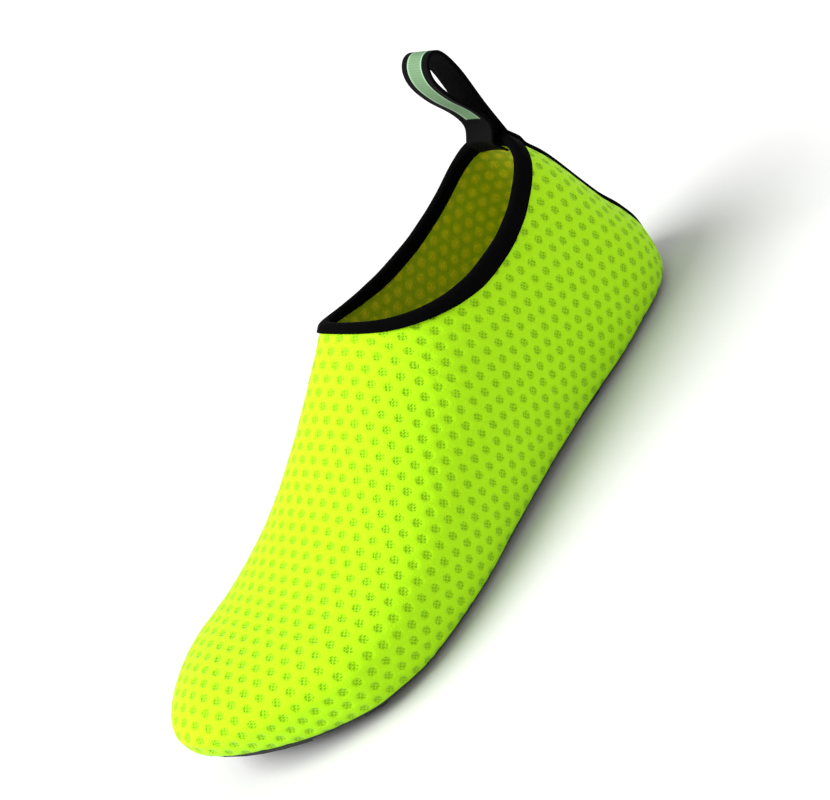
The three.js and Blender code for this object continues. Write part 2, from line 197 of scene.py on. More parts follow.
def floor_material():
    """Matt pale paper with a very faint mottle."""
    made, tree, shader, where = start_material("studio_paper")
    mottle = noise(tree, where.outputs["Object"], 30.0)
    color = mixed(tree, mottle, (0.70, 0.70, 0.70, 1), (0.74, 0.74, 0.735, 1))
    finish_material(tree, shader, color, mottle, 0.0001, Roughness=0.9)
    return made


def add_floor():
    """A square on the plane z = 0."""
    half = FLOOR_SIZE / 2
    corners = [(-half, -half, 0), (half, -half, 0), (half, half, 0), (-half, half, 0)]
    mesh = bpy.data.meshes.new("studio_floor")
    mesh.from_pydata(corners, [], [(0, 1, 2, 3)])
    mesh.materials.append(floor_material())
    floor = bpy.data.objects.new("studio_floor", mesh)
    bpy.context.scene.collection.objects.link(floor)
    return floor


floor = add_floor()
print("floor", FLOOR_SIZE, "m square")

# %% Lights
KEY_DIRECTION = Vector((0.62, -0.29, 0.73))
KEY_STRENGTH = 4.2
KEY_WIDTH = math.radians(45)
SKY_STRENGTH = 0.62


def add_key():
    """A sun with a wide disc, turned so that it shines from its direction to the origin."""
    data = bpy.data.lights.new("key_lamp", "SUN")
    data.energy = KEY_STRENGTH
    data.angle = KEY_WIDTH
    lamp = bpy.data.objects.new("key_lamp", data)
    lamp.location = KEY_DIRECTION
    lamp.rotation_euler = KEY_DIRECTION.to_track_quat("Z", "Y").to_euler()
    bpy.context.scene.collection.objects.link(lamp)


add_key()
world = bpy.data.worlds.new("pale_sky")
world.use_nodes = True
world.node_tree.nodes["Background"].inputs["Color"].default_value = (1, 1, 1, 1)
world.node_tree.nodes["Background"].inputs["Strength"].default_value = SKY_STRENGTH
bpy.context.scene.world = world
bpy.context.scene.view_settings.view_transform = "Standard"
print("key lamp", KEY_STRENGTH, "W per square metre, sky", SKY_STRENGTH)

# %% [markdown]
# ## The last
# A shoe is drawn from its last, the foot form. The plan outline, the ridge over the instep and
# the lean of the heel are short tables of shares of five sizes, and one formula gives a point of
# the last from its place along the outline, its side, and its level from the turned-under edge
# (-1) over the widest line (0) to the ridge (1). All cloth pieces are read from this one form.

# %% Sizes of the shoe
SHOE_LENGTH = 0.250
BALL_WIDTH = 0.091
INSTEP_HEIGHT = 0.080
HEEL_HEIGHT = 0.082
HEEL_CONTACT = 0.040
TURN_UNDER = 0.003
LUG_DEPTH = 0.0013
PLATE_THICKNESS = 0.0016
TOE_SPRING = 0.0135
ARCH_RISE = 0.0016
INSOLE_THICKNESS = 0.003
CLOTH_THICKNESS = 0.0018
FIT_GAP = 0.0003
BINDING_THICKNESS = 0.0009
BINDING_WIDTH = 0.0042
THROAT_WIDTH = 0.5
WEBBING_WIDTH = 0.015
WEBBING_THICKNESS = 0.0016
WEBBING_INSIDE = 0.0055
LOOP_RISE = 0.041
LOOP_DEPTH = 0.0105
TOE_CAP = 0.173
HEEL_CAP = 0.13
LEAN_REACH = 0.24


def table(columns, rows):
    """A dictionary with one array for each named column."""
    return dict(zip(columns.split(), np.array(rows, float).T))


OUTLINE = table("share middle half", [
    (0.00, 0.000, 0.300), (0.10, 0.000, 0.310), (0.20, 0.010, 0.342), (0.30, 0.025, 0.357),
    (0.40, 0.042, 0.378), (0.50, 0.056, 0.405), (0.60, 0.048, 0.450), (0.70, 0.024, 0.490),
    (0.76, 0.004, 0.500), (0.83, -0.036, 0.488), (0.90, -0.078, 0.438), (1.00, -0.122, 0.363),
])
SECTION = table("share ridge widest shift fullness", [
    (0.00, 1.348, 0.213, 0.000, 1.84), (0.15, 1.298, 0.237, 0.000, 1.84),
    (0.30, 1.286, 0.297, -0.016, 1.97), (0.42, 1.111, 0.273, -0.044, 2.05),
    (0.50, 0.954, 0.247, -0.071, 1.97), (0.60, 0.753, 0.222, -0.088, 2.00),
    (0.70, 0.586, 0.198, -0.101, 2.00), (0.80, 0.491, 0.192, -0.112, 2.00),
    (0.90, 0.451, 0.160, -0.123, 2.30), (1.00, 0.400, 0.090, -0.132, 2.50),
])
TREAD = table("share arch spring", [
    (0.00, 0.35, 0.00), (0.04, 0.00, 0.00), (0.13, 0.00, 0.00), (0.19, 0.00, 0.00),
    (0.30, 0.60, 0.00), (0.42, 1.00, 0.00), (0.52, 0.70, 0.00), (0.62, 0.00, 0.00),
    (0.68, 0.00, 0.00), (0.74, 0.00, 0.00), (0.82, 0.00, 0.11), (0.90, 0.00, 0.35),
    (1.00, 0.00, 1.00),
])
LEAN = table("height lean", [
    (0.000, 0.000), (0.205, 0.002), (0.325, 0.026), (0.475, 0.071), (0.635, 0.088), (0.795, 0.093),
    (0.896, 0.104), (1.016, 0.110), (1.175, 0.114),
])
COLLAR = table("share height", [
    (-0.2, 1.051), (0.02, 1.043), (0.08, 1.001), (0.12, 0.934), (0.16, 0.882), (0.2, 0.850),
    (0.25, 0.833), (0.3, 0.838), (0.35, 0.862), (0.385, 0.891), (0.415, 0.925), (0.444, 0.970),
    (0.47, 1.032), (0.52, 1.211),
])
LOOP = table("forward up", [
    (0.00, 0.00), (0.06, 0.32), (0.06, 0.70), (0.24, 0.93), (0.60, 0.99), (0.96, 0.93),
    (1.09, 0.79), (0.90, 0.585), (0.45, 0.33), (0.32, 0.15),
])
print("tables:", [len(t["share"]) for t in (OUTLINE, SECTION, TREAD, COLLAR)], "rows")

# %% Curves of the last
def along(rows, key, column, position):
    """Cubic pieces through a column. The slope at a row is the harmonic mean of the slopes on
    both sides, and zero at a peak, so the curve never overshoots the table."""
    at_row, value = rows[key], rows[column]
    at = np.clip(position, at_row[0], at_row[-1])
    row = np.clip(np.searchsorted(at_row, at) - 1, 0, len(at_row) - 2)
    rise = np.diff(value) / np.diff(at_row)
    product = rise[:-1] * rise[1:]
    total = rise[:-1] + rise[1:]
    inner = np.where(product > 0, 2 * product / np.where(product > 0, total, 1), 0)
    slope = np.concatenate([rise[:1], inner, rise[-1:]])
    width = at_row[row + 1] - at_row[row]
    t = (at - at_row[row]) / width
    return ((2 * t**3 - 3 * t**2 + 1) * value[row] + (t**3 - 2 * t**2 + t) * width * slope[row]
            + (3 * t**2 - 2 * t**3) * value[row + 1] + (t**3 - t**2) * width * slope[row + 1])


def tread_height(share):
    """Height of the sole's lowest face: the rise of the arch and the spring of the toe."""
    arch = ARCH_RISE * along(TREAD, "share", "arch", share)
    return arch + TOE_SPRING * along(TREAD, "share", "spring", share)


def cloth_height(share):
    """Height of the cloth's lower edge, a gap above the sole's plate."""
    return tread_height(share) + LUG_DEPTH + PLATE_THICKNESS + FIT_GAP


def round_end(distance, cap, power):
    """Quarter of a superellipse: 0 at the tip, 1 where the cap ends."""
    t = np.clip(distance / cap, 0, 1)
    return (1 - (1 - t) ** power) ** (1 / power)


def plan_point(share, side, across=1.0):
    """Point of the plan: the middle line plus the half width times a share across."""
    inside = np.clip(share, 0, 1)
    half = BALL_WIDTH * along(OUTLINE, "share", "half", inside)
    half = half * round_end(inside, HEEL_CAP, 2.2) * round_end(1 - inside, TOE_CAP, 2)
    middle = BALL_WIDTH * along(OUTLINE, "share", "middle", inside)
    return inside * SHOE_LENGTH, middle + side * across * half


def outline_point(share, side, offset):
    """Plan outline moved outwards along its normal, and straight along the shoe at both tips."""
    step = 0.0005
    x, y = plan_point(share, side)
    x0, y0 = plan_point(share - step, side)
    x1, y1 = plan_point(share + step, side)
    length = np.hypot(x1 - x0, y1 - y0)
    move_x = -side * (y1 - y0) / length
    move_y = side * (x1 - x0) / length
    at_heel = share < step / 5
    at_toe = share > 1 - step / 5
    move_x = np.where(at_heel, -1, np.where(at_toe, 1, move_x))
    move_y = np.where(at_heel | at_toe, 0, move_y)
    return x + offset * move_x, y + offset * move_y


RIDGE_FROM = 0.15
RIDGE_TO = 0.90
RIDGE_BEND = 0.72


def ridge_share(share):
    """Where on the ridge line a section that starts on the outline ends."""
    heel = RIDGE_FROM + RIDGE_FROM * (share / (2 * RIDGE_FROM)) ** 2
    u = (share - RIDGE_BEND) / (1 - RIDGE_BEND)
    toe = RIDGE_BEND + (1 - RIDGE_BEND) * u - (1 - RIDGE_TO) * u**2
    return np.where(share < 2 * RIDGE_FROM, heel, np.where(share < RIDGE_BEND, share, toe))


def last_point(share, side, level, offset):
    """A point of the last, grown outwards by the offset, measured from the back of the heel.
    Above the widest line a section is a quarter superellipse from the outline to the ridge.
    Below it the section turns under by a quarter ellipse. The heel then leans forward."""
    share, side, level, offset = np.broadcast_arrays(*np.atleast_1d(share, side, level, offset))
    out_x, out_y = outline_point(share, side, offset)
    top = ridge_share(share)
    top_x = top * SHOE_LENGTH
    top_y = BALL_WIDTH * along(SECTION, "share", "shift", top)
    up = np.maximum(level, 0) * math.pi / 2
    down = np.maximum(-level, 0) * math.pi / 2
    power = 2 / along(SECTION, "share", "fullness", top)
    reach = np.maximum(np.cos(up), 0) ** power
    x = top_x + (out_x - top_x) * reach
    y = top_y + (out_y - top_y) * reach
    here = x / SHOE_LENGTH
    low = cloth_height(here)
    widest = low + INSTEP_HEIGHT * along(SECTION, "share", "widest", here)
    ridge = INSTEP_HEIGHT * along(SECTION, "share", "ridge", here) + offset
    above = widest + (ridge - widest) * np.sin(up) ** power
    below = widest + (low - widest) * np.sin(down)
    z = np.where(level < 0, below, above)
    under_x, under_y = outline_point(share, side, offset - TURN_UNDER * (1 - np.cos(down)))
    x = np.where(level < 0, under_x, x)
    y = np.where(level < 0, under_y, y)
    lean = HEEL_HEIGHT * along(LEAN, "height", "lean", z / HEEL_HEIGHT)
    x = x + lean * np.maximum(1 - share / LEAN_REACH, 0) ** 1.5
    return np.stack([x, y, z], -1)


NARROW_FROM = 0.28
NARROW_TO = 0.43


def smooth_step(value, start, end):
    """0 before start, 1 after end, and smooth between them."""
    t = np.clip((value - start) / (end - start), 0, 1)
    return t * t * (3 - 2 * t)


def collar_line(drop):
    """Side view of the collar's edge moved down by the drop, square to the edge. Round the
    throat the tape is pulled narrower, so a drop is less there."""
    share = np.linspace(COLLAR["share"][0], COLLAR["share"][-1], 260)
    if drop > 0:
        drop = drop * (1 - (1 - THROAT_WIDTH) * smooth_step(share, NARROW_FROM, NARROW_TO))
    step = 0.002
    x = share * SHOE_LENGTH
    z = HEEL_HEIGHT * along(COLLAR, "share", "height", share)
    rise = HEEL_HEIGHT * along(COLLAR, "share", "height", share + step)
    rise = rise - HEEL_HEIGHT * along(COLLAR, "share", "height", share - step)
    run = 2 * step * SHOE_LENGTH
    length = np.hypot(run, rise)
    return x + drop * rise / length, z - drop * run / length


def halved(low, high, under, rounds):
    """Both ends of a span after some halvings: the half in which the test turns false is kept."""
    for _ in range(rounds):
        middle = (low + high) / 2
        passed = under(middle)
        low = np.where(passed, middle, low)
        high = np.where(passed, high, middle)
    return low, high


LEVEL_ROUNDS = 34
LOWEST_COLLAR = -0.9


def collar_level(share, side, offset, drop):
    """Level at which each section of the grown last meets the moved collar line, found by
    halving; 1, the ridge, where the section stays below the line."""
    line_x, line_z = collar_line(drop)

    def under(level):
        point = last_point(share, side, level, offset)
        return point[..., 2] < np.interp(point[..., 0], line_x, line_z)

    lowest = np.full(np.shape(share), LOWEST_COLLAR)
    _, high = halved(lowest, np.ones(np.shape(share)), under, LEVEL_ROUNDS)
    return np.where(high > 1 - 1e-8, 1.0, high)


ball = last_point(0.76, np.array([1, -1]), 0, 0)
print("width at the ball", round(float(ball[0, 1] - ball[1, 1]) * 1000, 1), "mm")

# %% [markdown]
# ## From a grid to a closed mesh
# Each piece is worked out as a grid of points. Where two sides of a grid meet, on the ridge or
# at the back of the heel, their points are equal, so merging equal points closes the piece. Two
# faces on the same points lie back to back inside the piece, and both are taken out.

# %% Mesh helpers
def grid_faces(rows, columns, close_rows=False, close_columns=False):
    """Four-cornered faces between neighbouring points of a grid."""
    index = np.arange(rows * columns).reshape(rows, columns)
    if close_rows:
        index = np.vstack([index, index[:1]])
    if close_columns:
        index = np.hstack([index, index[:, :1]])
    corners = [index[:-1, :-1], index[:-1, 1:], index[1:, 1:], index[1:, :-1]]
    return np.stack(corners, -1).reshape(-1, 4)


def split_in_two(faces):
    """Both triangles of each four-cornered face."""
    return np.concatenate([faces[:, [0, 1, 2]], faces[:, [0, 2, 3]]])


def three_corners(triangles):
    """Which triangles have three different corners."""
    a, b, c = triangles.T
    return (a != b) & (b != c) & (c != a)


def closed_triangles(points, faces):
    """Merges equal points, takes out twin faces, splits the rest and turns them outwards.
    Returns the merged points, the triangles, their corners in the old count, and each
    triangle's old face."""
    merged, place = np.unique(points, axis=0, return_inverse=True)
    place = place.reshape(-1)
    new = place[faces]
    key = np.sort(new, axis=1)
    _, group, count = np.unique(key, axis=0, return_inverse=True, return_counts=True)
    kept = np.flatnonzero(count[group.reshape(-1)] == 1)
    split = split_in_two(faces[kept])
    source = np.concatenate([kept, kept])
    solid = three_corners(place[split])
    split, source = split[solid], source[solid]
    p, q, r = (merged[place[split[:, k]]] for k in range(3))
    if np.einsum("ij,ij->", p, np.cross(q, r)) < 0:
        split = split[:, ::-1]
    return merged, place[split], split, source


def add_piece(name, points, faces, materials, uv=None, face_material=None, crease=40):
    """A named object from grid points measured from the back of the heel."""
    points = points.reshape(-1, 3) - np.array([HEEL_CONTACT, 0, 0])
    points = np.round(points, 9)
    merged, triangles, corners, source = closed_triangles(points, faces)
    mesh = bpy.data.meshes.new(name)
    mesh.from_pydata(merged.tolist(), [], triangles.tolist())
    for material in materials:
        mesh.materials.append(material)
    if uv is not None:
        layer = mesh.uv_layers.new(name="pattern")
        layer.uv.foreach_set("vector", uv.reshape(-1, 2)[corners.reshape(-1)].ravel())
    if face_material is not None:
        mesh.polygons.foreach_set("material_index", face_material[source])
    mesh.shade_smooth()
    mesh.set_sharp_from_angle(angle=math.radians(crease))
    piece = bpy.data.objects.new(name, mesh)
    bpy.context.scene.collection.objects.link(piece)
    print(name, len(merged), "points,", len(triangles), "triangles")
    return piece


# %% [markdown]
# ## How the knit lies on the last
# The knit comes flat, with round dimples in a honeycomb 5.5 mm apart, and is pulled over the
# last. To know where the dimples go, the curved cloth is laid flat with as little stretch as
# possible: each small triangle is turned as it likes best, then all are joined again, over and
# over. A place on the flat cloth then becomes the piece's UV map, which carries the dimples.

# %% Columns and rows of the upper
SIDE_COLUMNS = 310
OUTER_ROWS = 116
INNER_ROWS = 34
FLAT_STEP = 6
THROAT_COLUMNS = 18
FLAT_ROWS = 18
FLAT_ROUNDS = 60
FINE_LEVELS = 160
OUTLINE_STEPS = 3001


def running(steps):
    """Running length: zero, then the sum of the steps so far."""
    return np.concatenate([[0], np.cumsum(steps)])


def outline_length():
    """Fine shares along the plan outline, closer together at both tips, and the length to each."""
    fine = (1 - np.cos(np.linspace(0, math.pi, OUTLINE_STEPS))) / 2
    x, y = outline_point(fine, 1.0, 0.0)
    return fine, running(np.hypot(np.diff(x), np.diff(y)))


def even_shares(count):
    """Shares at even steps along the plan outline, from the heel's back to the toe."""
    fine, arc = outline_length()
    shares = np.interp(np.linspace(0, arc[-1], count), arc, fine)
    shares[0], shares[-1] = 0.0, 1.0
    return shares


def round_trip(count):
    """Shares and sides of columns from the heel along the outer side and back on the inner."""
    shares = even_shares(count + 1)
    share = np.concatenate([shares, shares[::-1][1:]])
    side = np.concatenate([np.ones(count + 1), -np.ones(count)])
    return share, side


def even_levels(share, side, offset, top, rows):
    """Levels at even steps of length on each section, from the lower edge to the top level."""
    fine = np.linspace(0, 1, FINE_LEVELS)[:, None]
    level = -1 + (top + 1) * (1 - (1 - fine) ** 1.3)
    point = last_point(share, side, level, offset)
    step = np.linalg.norm(np.diff(point, axis=0), axis=-1)
    arc = np.vstack([np.zeros(len(share)), np.cumsum(step, axis=0)])
    wanted = np.linspace(0, 1, rows)[:, None]
    order = 2 * np.arange(len(share))
    found = np.interp((wanted + order).T.ravel(), (arc / arc[-1] + order).T.ravel(), level.T.ravel())
    found = found.reshape(len(share), rows).T
    found[-1] = top
    return found, arc[-1]


def meet(points, top):
    """Makes the two sides equal where they meet: at the heel's back, and on the ridge."""
    points[:, -1] = points[:, 0]
    mirror = points[:, ::-1]
    on_ridge = (top == 1.0)
    points[-1] = np.where(on_ridge[:, None] & (np.arange(len(top)) > SIDE_COLUMNS)[:, None],
                          mirror[-1], points[-1])
    return points


share, side = round_trip(SIDE_COLUMNS)
outer_top = collar_level(share, side, 0.0, 0.0)
outer_levels, girth = even_levels(share, side, 0.0, outer_top, OUTER_ROWS)
print("collar meets the ridge", round(SHOE_LENGTH * 1000 * float(share[outer_top == 1].min()), 1),
      "mm from the heel; longest section", round(float(girth.max()) * 1000, 1), "mm")

# %% Laying the cloth flat
PITCH = 0.0055
WAIST_COLUMNS = (120, 180)
PATTERN_TURN = math.radians(12.0)
PULL_TURN = math.radians(51.8)
PULL_ACROSS = 1.152
PULL_ALONG = 0.960
RETURN_TURN = math.radians(5.3)


def flat_copies(points, triangles):
    """The sides of each triangle's own flat copy, as complex numbers, and their weights: the
    cotangents of the corners facing them."""
    corner = points[triangles]
    along_first = corner[:, 1] - corner[:, 0]
    along_last = corner[:, 2] - corner[:, 0]
    base = np.linalg.norm(along_first, axis=1)
    height = np.linalg.norm(np.cross(along_first, along_last), axis=1) / base
    reach = np.einsum("ij,ij->i", along_first, along_last) / base
    flat = np.stack([0 * base, base, reach + 1j * height], 1)
    side_of = flat[:, [1, 2, 0]] - flat
    to_next = flat[:, [0, 1, 2]] - flat[:, [2, 0, 1]]
    to_other = flat[:, [1, 2, 0]] - flat[:, [2, 0, 1]]
    product = np.conj(to_next) * to_other
    return side_of, product.real / np.maximum(np.abs(product.imag), 1e-14)


def flattened(points, triangles, start, rounds):
    """Places on the flat cloth, as complex numbers. Each triangle has its own flat copy; its
    turn is the mean of how its sides now lie against that copy, and the places then solve
    one balance of all sides."""
    side_of, weight = flat_copies(points, triangles)
    following = triangles[:, [1, 2, 0]]
    balance = np.zeros((len(points), len(points)))
    np.add.at(balance, (triangles, triangles), weight)
    np.add.at(balance, (following, following), weight)
    np.add.at(balance, (triangles, following), -weight)
    np.add.at(balance, (following, triangles), -weight)
    balance += 1e-6 * np.eye(len(points))
    solve = np.linalg.inv(balance)
    place = start.copy()
    for _ in range(rounds):
        now = place[following] - place[triangles]
        turn = np.sum(weight * now * np.conj(side_of), axis=1)
        turn = turn / np.maximum(np.abs(turn), 1e-12)
        pull = weight * turn[:, None] * side_of
        force = np.zeros(len(points), complex)
        np.add.at(force, following, pull)
        np.add.at(force, triangles, -pull)
        place = solve @ force
    stretch = np.abs(place[following] - place[triangles]) / np.abs(side_of)
    print("cloth stretch from", round(float(np.quantile(stretch, 0.02)), 2), "to",
          round(float(np.quantile(stretch, 0.98)), 2))
    return place


def knit_map():
    """Flat place of a coarse copy of the outer skin, then read off for any row and column."""
    throat = int(np.argmax(outer_top == 1.0))
    even = np.arange(0, SIDE_COLUMNS, FLAT_STEP)
    near = np.arange(throat - THROAT_COLUMNS, throat + 1, FLAT_STEP // 2)
    clear = np.abs(even[:, None] - near).min(axis=1) > 1
    half = np.union1d(even[clear], [*near, SIDE_COLUMNS])
    chosen = np.union1d(half, 2 * SIDE_COLUMNS - half)
    top = outer_top[chosen]
    levels, length = even_levels(share[chosen], side[chosen], 0.0, top, FLAT_ROWS)
    points = last_point(share[chosen], side[chosen], levels, 0.0)
    # A first guess: along the shoe, and up from the outer edge over the ridge.
    rows = np.linspace(0, 1, FLAT_ROWS)[:, None]
    outer = side[chosen] > 0
    over = length + length[::-1]
    v = np.where(outer, rows * length, over - rows * length)
    start = (points[..., 0] + 1j * v).ravel()
    # The ridge is one line, though the heel's back is the cloth's cut.
    count = len(chosen)
    name = np.arange(FLAT_ROWS * count).reshape(FLAT_ROWS, count)
    ridge = top == 1.0
    inner_half = np.arange(count) > count // 2
    name[-1] = np.where(ridge & inner_half, name[-1, ::-1], name[-1])
    used, compact = np.unique(name, return_inverse=True)
    compact = compact.reshape(name.shape)
    faces = compact.ravel()[grid_faces(FLAT_ROWS, count)]
    triangles = split_in_two(faces)
    triangles = triangles[three_corners(triangles)]
    place = flattened(points.reshape(-1, 3)[used], triangles, start[used], FLAT_ROUNDS)
    return chosen, length, place[compact]


def spread(rows):
    """The coarse map at even rows and every column. Both neighbouring coarse columns are read at
    the same distance from the lower edge, and the two places are then mixed."""
    distance = np.linspace(0, 1, rows)[:, None] * girth
    column = np.interp(np.arange(2 * SIDE_COLUMNS + 1), chosen_columns, np.arange(len(chosen_columns)))
    first = np.minimum(column.astype(int), len(chosen_columns) - 2)

    def read(which):
        row = distance / coarse_girth[which] * (FLAT_ROWS - 1)
        low = np.minimum(row.astype(int), FLAT_ROWS - 2)
        part = row - low
        return coarse_map[low, which] * (1 - part) + coarse_map[low + 1, which] * part

    part = column - first
    return read(first) * (1 - part) + read(first + 1) * part


chosen_columns, coarse_girth, coarse_map = knit_map()


def pattern_of(rows):
    """Place on the flat cloth in dimple pitches, turned so the rows climb towards the toe. The
    cloth is also pulled a little longer over the instep than along the sole, on a diagonal."""
    flat = spread(rows) / PITCH
    low, high = np.searchsorted(chosen_columns, WAIST_COLUMNS)
    waist = coarse_map[FLAT_ROWS // 3, high] - coarse_map[FLAT_ROWS // 3, low]
    turned = flat * np.exp(-1j * (np.angle(waist) + PATTERN_TURN + PULL_TURN))
    pulled = turned.real / PULL_ACROSS + 1j * turned.imag / PULL_ALONG
    return pulled * np.exp(1j * (PULL_TURN + RETURN_TURN))


outer_pattern = pattern_of(OUTER_ROWS)
inner_pattern = pattern_of(INNER_ROWS)
print("cloth is", round(float(np.ptp(outer_pattern.real)) * PITCH * 1000), "by",
      round(float(np.ptp(outer_pattern.imag)) * PITCH * 1000), "mm flat")

# %% [markdown]
# ## Upper
# The real upper is one double layer of stretch knit, about 1.8 mm thick. The dimples are real
# hollows in its face, so they are pressed into the mesh, and the shader adds the fine mesh holes
# that are too small to model. The inner face shows the backs of the same dimples.

# %% Upper
DIMPLE_RADIUS = 0.285
DIMPLE_DEPTH = 0.00035
BACK_RADIUS = 0.34
SLIP_FROM = 0.0012
SLIP_TO = 0.0020
MESH_PITCH = 0.00085
MESH_STRETCH = 0.55
ROOT_THREE = math.sqrt(3)


def lattice_distance(place):
    """Distance to the nearest dimple in pitches: a honeycomb is two rectangular grids."""
    def nearest(x, y):
        x = x - np.round(x)
        y = y - ROOT_THREE * np.round(y / ROOT_THREE)
        return np.hypot(x, y)
    first = nearest(place.real, place.imag)
    second = nearest(place.real + 0.5, place.imag + ROOT_THREE / 2)
    return np.minimum(first, second)


def dimple(place):
    """1 in the middle of a dimple, falling to 0 at its rim."""
    return 1 - smooth_step(lattice_distance(place), DIMPLE_RADIUS * 0.35, DIMPLE_RADIUS * 1.25)


def along_normal(share, side, levels, offset, amount):
    """The grown last moved by an amount along its own normal, found from two near copies."""
    near = last_point(share, side, levels, offset)
    step = 2e-4
    far = last_point(share, side, levels, offset + step)
    return near + (far - near) * (amount / step)[..., None]


def make_upper():
    """Outer skin with dimples and inner skin with their backs, as one closed grid. Behind the
    throat the rows of neighbouring columns slip past each other, so that the long thin faces
    can't carry a dimple, and its hollow fades and is left to the shader."""
    up = np.linspace(0, 1, OUTER_ROWS)[:, None]
    slip = np.abs(np.gradient(girth)) * up
    edge = smooth_step(outer_levels, -1.0, -0.8) * smooth_step(1 - up, 0, 0.02)
    edge = edge * (1 - smooth_step(slip, SLIP_FROM, SLIP_TO))
    depth = -DIMPLE_DEPTH * dimple(outer_pattern) * edge
    outer = along_normal(share, side, outer_levels, 0.0, depth)
    inner_top = collar_level(share, side, -CLOTH_THICKNESS, 0.0)
    inner_levels, _ = even_levels(share, side, -CLOTH_THICKNESS, inner_top, INNER_ROWS)
    inner = last_point(share, side, inner_levels, -CLOTH_THICKNESS)
    outer = meet(outer, outer_top)
    inner = meet(inner, inner_top)
    points = np.vstack([outer, inner[::-1]])
    pattern = np.vstack([outer_pattern, inner_pattern[::-1]])
    uv = np.stack([pattern.real, pattern.imag], -1)
    faces = grid_faces(*points.shape[:2], close_rows=True)
    per_row = points.shape[1] - 1
    inside = (np.arange(len(faces)) // per_row >= OUTER_ROWS).astype(np.int32)
    return points, faces, uv, inside


# %% Cloth finish
def lattice_nodes(tree, vector):
    """The same honeycomb distance as nodes: two wrapped grids, and the smaller length."""
    limit = (0.5, ROOT_THREE / 2, 0)
    low = (-0.5, -ROOT_THREE / 2, 0)
    first = vectors(tree, "WRAP", vector, limit, low)
    moved = vectors(tree, "ADD", vector, limit)
    second = vectors(tree, "WRAP", moved, limit, low)
    lengths = [vectors(tree, "LENGTH", wrapped) for wrapped in (first, second)]
    return maths(tree, "MINIMUM", *lengths)


def knit_material(name, face, shade, hole, radius, bowl_shade, painted_rim_shade, sign):
    """Knit with dimples of fine mesh: its face colour; a second colour, the random tone of its yarn,
    which the dimples also take to a share, as painted shade in their hollows on the outside and as a
    lighter tone over their backs on the inside; and its hole colour, towards which faces that turn
    downwards, as on the turned-under rim, are darkened by a share as painted shade. The
    sign says whether the dimples of this radius sink (-1) or rise (1)."""
    made, tree, shader, where = start_material(name)
    pattern = where.outputs["UV"]
    distance = lattice_nodes(tree, pattern)
    bowl = ramp(tree, distance, radius * 1.3, radius * 0.4)
    patch = ramp(tree, distance, radius * 1.15, radius * 0.7)
    fibre = noise(tree, where.outputs["Object"], 1500.0, 4.0)
    pulled = vectors(tree, "ADD", pattern, maths(tree, "MULTIPLY", fibre, 0.12))
    finer = PITCH / MESH_PITCH
    fine = vectors(tree, "MULTIPLY", pulled, (finer * MESH_STRETCH, finer, 1))
    mesh_distance = lattice_nodes(tree, fine)
    holes = maths(tree, "MULTIPLY", ramp(tree, mesh_distance, 0.52, 0.15), patch)
    yarn = ramp(tree, fibre, 0.40, 0.68)
    outward = axes(tree, where.outputs["Normal"])["Z"]
    # Painted shade: faces that turn downwards, as on the turned-under rim, are darkened towards the
    # hole colour.
    rim = ramp(tree, outward, 0.02, -0.75)
    knit_tone_and_hollow_shade = mixed(tree, maths(tree, "MULTIPLY", yarn, 0.16), face, shade)
    # Painted shade: on the outside the dimples' hollows are darkened towards the shade colour; on the
    # inside the same mix makes the dimples' backs lighter.
    knit_tone_and_hollow_shade = mixed(tree, maths(tree, "MULTIPLY", bowl, bowl_shade), knit_tone_and_hollow_shade, shade)
    knit_tone_and_hollow_shade = mixed(tree, maths(tree, "MULTIPLY", holes, 0.75), knit_tone_and_hollow_shade, hole)
    color = mixed(tree, maths(tree, "MULTIPLY", rim, painted_rim_shade), knit_tone_and_hollow_shade, hole)
    height = maths(tree, "MULTIPLY_ADD", bowl, 0.5 * sign, maths(tree, "MULTIPLY", fibre, 0.45))
    height = maths(tree, "MULTIPLY_ADD", holes, -0.5, height)
    finish_material(tree, shader, color, height, 0.0004, Roughness=0.8, Sheen_Weight=0.1,
                    Sheen_Roughness=0.4, Specular_IOR_Level=0.12)
    return made


# Outside: a share of 0.35 paints shade in the dimples' hollows and 0.6 paints shade on faces that turn
# downwards; the inside has no painted rim shade.
outside_knit = knit_material("knit_outside", (0.46, 0.90, 0.006, 1), (0.30, 0.68, 0.001, 1),
                             (0.17, 0.45, 0.000, 1), DIMPLE_RADIUS, 0.35, 0.6, -1)
inside_knit = knit_material("knit_inside", (0.42, 0.55, 0.002, 1), (0.84, 0.84, 0.008, 1),
                            (0.72, 0.72, 0.006, 1), BACK_RADIUS, 1.0, 0.0, 1)
upper_points, upper_faces, upper_uv, upper_inside = make_upper()
upper = add_piece("upper_knit", upper_points, upper_faces, [outside_knit, inside_knit],
                  uv=upper_uv, face_material=upper_inside, crease=70)
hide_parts("upper")
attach(upper, "root")

# %% [markdown]
# ## Collar binding
# One stretch tape, about 4 mm wide on each side, is folded over the collar's edge. Its section is a
# narrow U drawn with two numbers: how far below the edge, and how far out from the cloth's face.
# Carrying that section round the collar with the last's own formula keeps it snug.

# %% Binding
BINDING_COLUMNS = 150
BINDING_RIB = 0.0007
THROAT_FROM = 0.3
THROAT_TO = 0.6
THROAT_ROUNDS = 24
TAPE_BLACK = (0.0006, 0.0006, 0.0008, 1)
BINDING_THREAD = (0.0026, 0.0026, 0.0030, 1)


